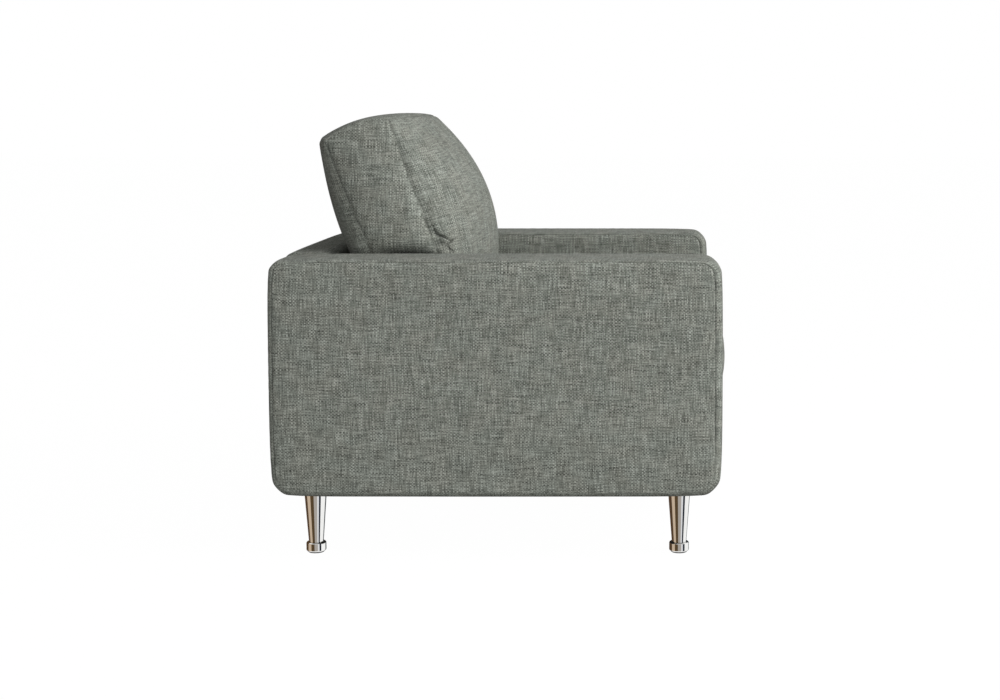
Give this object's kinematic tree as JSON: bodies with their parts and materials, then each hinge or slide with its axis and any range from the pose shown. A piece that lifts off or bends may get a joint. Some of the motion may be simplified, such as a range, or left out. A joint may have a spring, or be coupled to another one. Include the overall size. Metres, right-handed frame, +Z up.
{
  "type": "upholstered armchair",
  "caption": "Low boxy upholstered armchair: padded square arms, loose crowned seat cushion, loose leaning back cushion, tapered polished legs with levelling feet.",
  "frame": {"origin": "on the floor, at the centre of the chair's bounding box", "axes": "+Z up, -Y the way the sitter faces, +X towards the sitter's left; +Y is the longest extent and +Z the shortest"},
  "size_m": [0.85, 0.882, 0.8455],
  "materials": {
    "tweed": "matte",
    "polished_metal": "polished",
    "glide_plastic": "matte",
    "zinc_steel": "satin",
    "filling": "matte",
    "foam": "matte",
    "deck_cloth": "matte",
    "felt": "matte",
    "dust_cloth": "matte",
    "webbing": "matte",
    "plywood": "matte",
    "timber": "matte"
  },
  "bodies": {
    "frame": {"arm_screws": "zinc_steel", "back_board": "plywood", "back_lower_rail": "timber", "back_pad": "foam", "back_top_rail": "timber", "back_webbing": "webbing", "corner_blocks": "timber", "dust_cover": "dust_cloth", "front_left_leg": "polished_metal", "front_rail": "timber", "front_rail_cover": "tweed", "front_rail_pad": "foam", "front_right_leg": "polished_metal", "inside_back_cover": "tweed", "left_arm_bottom_rail": "timber", "left_arm_cover": "tweed", "left_arm_front_post": "timber", "left_arm_inner_panel": "plywood", "left_arm_outer_panel": "plywood", "left_arm_pad": "foam", "left_arm_rear_post": "timber", "left_arm_top_board": "timber", "left_back_stile": "plywood", "left_side_rail": "timber", "leg_studs": "zinc_steel", "leg_tee_nuts": "zinc_steel", "outside_back_cover": "tweed", "rear_left_leg": "polished_metal", "rear_rail": "timber", "rear_right_leg": "polished_metal", "right_arm_bottom_rail": "timber", "right_arm_cover": "tweed", "right_arm_front_post": "timber", "right_arm_inner_panel": "plywood", "right_arm_outer_panel": "plywood", "right_arm_pad": "foam", "right_arm_rear_post": "timber", "right_arm_top_board": "timber", "right_back_stile": "plywood", "right_side_rail": "timber", "seat_cross_rail": "timber", "seat_deck_cloth": "deck_cloth", "seat_felt": "felt", "seat_spring_1": "zinc_steel", "seat_spring_2": "zinc_steel", "seat_spring_3": "zinc_steel", "seat_spring_4": "zinc_steel", "spring_clips": "zinc_steel"},
    "seat_cushion": {"seat_cushion_cover": "tweed", "seat_cushion_filling": "filling"},
    "back_cushion": {"back_cushion_cover": "tweed", "back_cushion_filling": "filling"},
    "front_left_glide": {"front_left_glide": "glide_plastic"},
    "front_left_levelling_foot": {"front_left_foot": "polished_metal"},
    "front_right_glide": {"front_right_glide": "glide_plastic"},
    "front_right_levelling_foot": {"front_right_foot": "polished_metal"},
    "rear_left_glide": {"rear_left_glide": "glide_plastic"},
    "rear_left_levelling_foot": {"rear_left_foot": "polished_metal"},
    "rear_right_glide": {"rear_right_glide": "glide_plastic"},
    "rear_right_levelling_foot": {"rear_right_foot": "polished_metal"}
  },
  "joints": [
    {"name": "back_cushion_lift", "type": "slide", "parent": "frame", "child": "back_cushion", "axis": [0, 0, 1], "range_m": [0, 0.45]},
    {"name": "seat_cushion_pull", "type": "slide", "parent": "frame", "child": "seat_cushion", "axis": [0, -1, 0], "range_m": [0, 0.68]},
    {"name": "front_left_foot_travel", "type": "slide", "parent": "frame", "child": "front_left_glide", "axis": [0, 0, -1], "range_m": [0, 0.01]},
    {"name": "front_left_foot_turn", "type": "hinge", "parent": "front_left_glide", "child": "front_left_levelling_foot", "pos_m": [0.3475, -0.331, 0.01], "axis": [0, 0, -1], "range_deg": [0, 2880]},
    {"name": "front_right_foot_travel", "type": "slide", "parent": "frame", "child": "front_right_glide", "axis": [0, 0, -1], "range_m": [0, 0.01]},
    {"name": "front_right_foot_turn", "type": "hinge", "parent": "front_right_glide", "child": "front_right_levelling_foot", "pos_m": [-0.3475, -0.331, 0.01], "axis": [0, 0, -1], "range_deg": [0, 2880]},
    {"name": "rear_left_foot_travel", "type": "slide", "parent": "frame", "child": "rear_left_glide", "axis": [0, 0, -1], "range_m": [0, 0.01]},
    {"name": "rear_left_foot_turn", "type": "hinge", "parent": "rear_left_glide", "child": "rear_left_levelling_foot", "pos_m": [0.3475, 0.3695, 0.01], "axis": [0, 0, -1], "range_deg": [0, 2880]},
    {"name": "rear_right_foot_travel", "type": "slide", "parent": "frame", "child": "rear_right_glide", "axis": [0, 0, -1], "range_m": [0, 0.01]},
    {"name": "rear_right_foot_turn", "type": "hinge", "parent": "rear_right_glide", "child": "rear_right_levelling_foot", "pos_m": [-0.3475, 0.3695, 0.01], "axis": [0, 0, -1], "range_deg": [0, 2880]}
  ],
  "couplings": [
    {"joint": "front_left_foot_travel", "follows": "front_left_foot_turn", "m_per_rad": 0.00019894},
    {"joint": "front_right_foot_travel", "follows": "front_right_foot_turn", "m_per_rad": 0.00019894},
    {"joint": "rear_left_foot_travel", "follows": "rear_left_foot_turn", "m_per_rad": 0.00019894},
    {"joint": "rear_right_foot_travel", "follows": "rear_right_foot_turn", "m_per_rad": 0.00019894}
  ]
}
